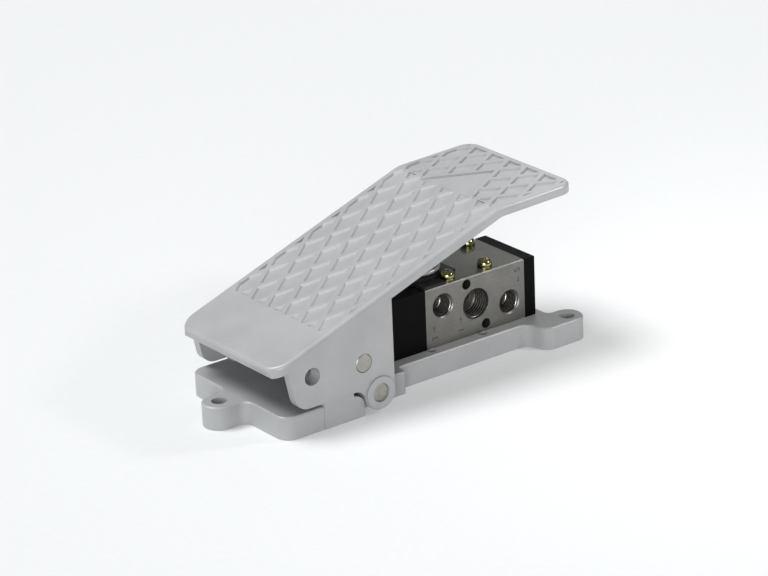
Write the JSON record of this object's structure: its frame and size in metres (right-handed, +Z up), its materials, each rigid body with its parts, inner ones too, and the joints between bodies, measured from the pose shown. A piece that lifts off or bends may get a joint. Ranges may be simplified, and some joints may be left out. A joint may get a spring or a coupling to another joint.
{
  "type": "foot pedal air valve",
  "caption": "Foot treadle on a cast base that pushes the spool of a five-port air valve and springs back when the foot lifts.",
  "frame": {"origin": "on the base's underside, straight below the middle of the treadle's pivot axis", "axes": "+X from the heel towards the toe of the treadle and the rear of the valve, +Y to the side with the two outlet ports, +Z up"},
  "size_m": [0.1737, 0.0704, 0.072],
  "materials": {
    "casting_paint": "light grey satin paint on a die casting",
    "pin_steel": "ground steel pin",
    "block_aluminium": "machined, grey",
    "cap_black": "black moulding",
    "seal_rubber": "moulded",
    "screw_zinc": "yellow zinc plate",
    "guide_bronze": "plain bearing bronze",
    "spool_aluminium": "ground",
    "spring_steel": "drawn wire",
    "plate_black": "black finished sheet steel"
  },
  "bodies": {
    "base": {"base_casting": "casting_paint", "valve_block": "block_aluminium", "front_cap": "cap_black", "rear_cap": "cap_black", "front_cap_seal": "seal_rubber", "rear_cap_seal": "seal_rubber", "front_cap_screws": "screw_zinc", "rear_cap_screws": "screw_zinc", "block_screws": "screw_zinc", "plunger_guide": "guide_bronze", "plunger_seal": "seal_rubber", "spring_seat_plate": "plate_black", "treadle_spring": "spring_steel", "spool_spring": "spring_steel"},
    "treadle": {"treadle_casting": "casting_paint", "pivot_pin": "pin_steel", "push_pin": "pin_steel"},
    "spool": {"spool": "spool_aluminium", "spool_rings": "seal_rubber", "plunger": "pin_steel"}
  },
  "joints": [
    {"name": "treadle_hinge", "type": "hinge", "parent": "base", "child": "treadle", "pos_m": [0, 0, 0.00845], "axis": [0, 1, 0], "range_deg": [0, 11], "stiffness_Nm_per_rad": 2, "springref_deg": -20.05, "deforming": ["treadle_spring"]},
    {"name": "spool_slide", "type": "slide", "parent": "base", "child": "spool", "axis": [1, 0, 0], "range_m": [0, 0.003], "deforming": ["spool_spring"]}
  ],
  "couplings": [
    {"joint": "spool_slide", "follows": "treadle_hinge", "m_per_rad": 0.0153}
  ]
}
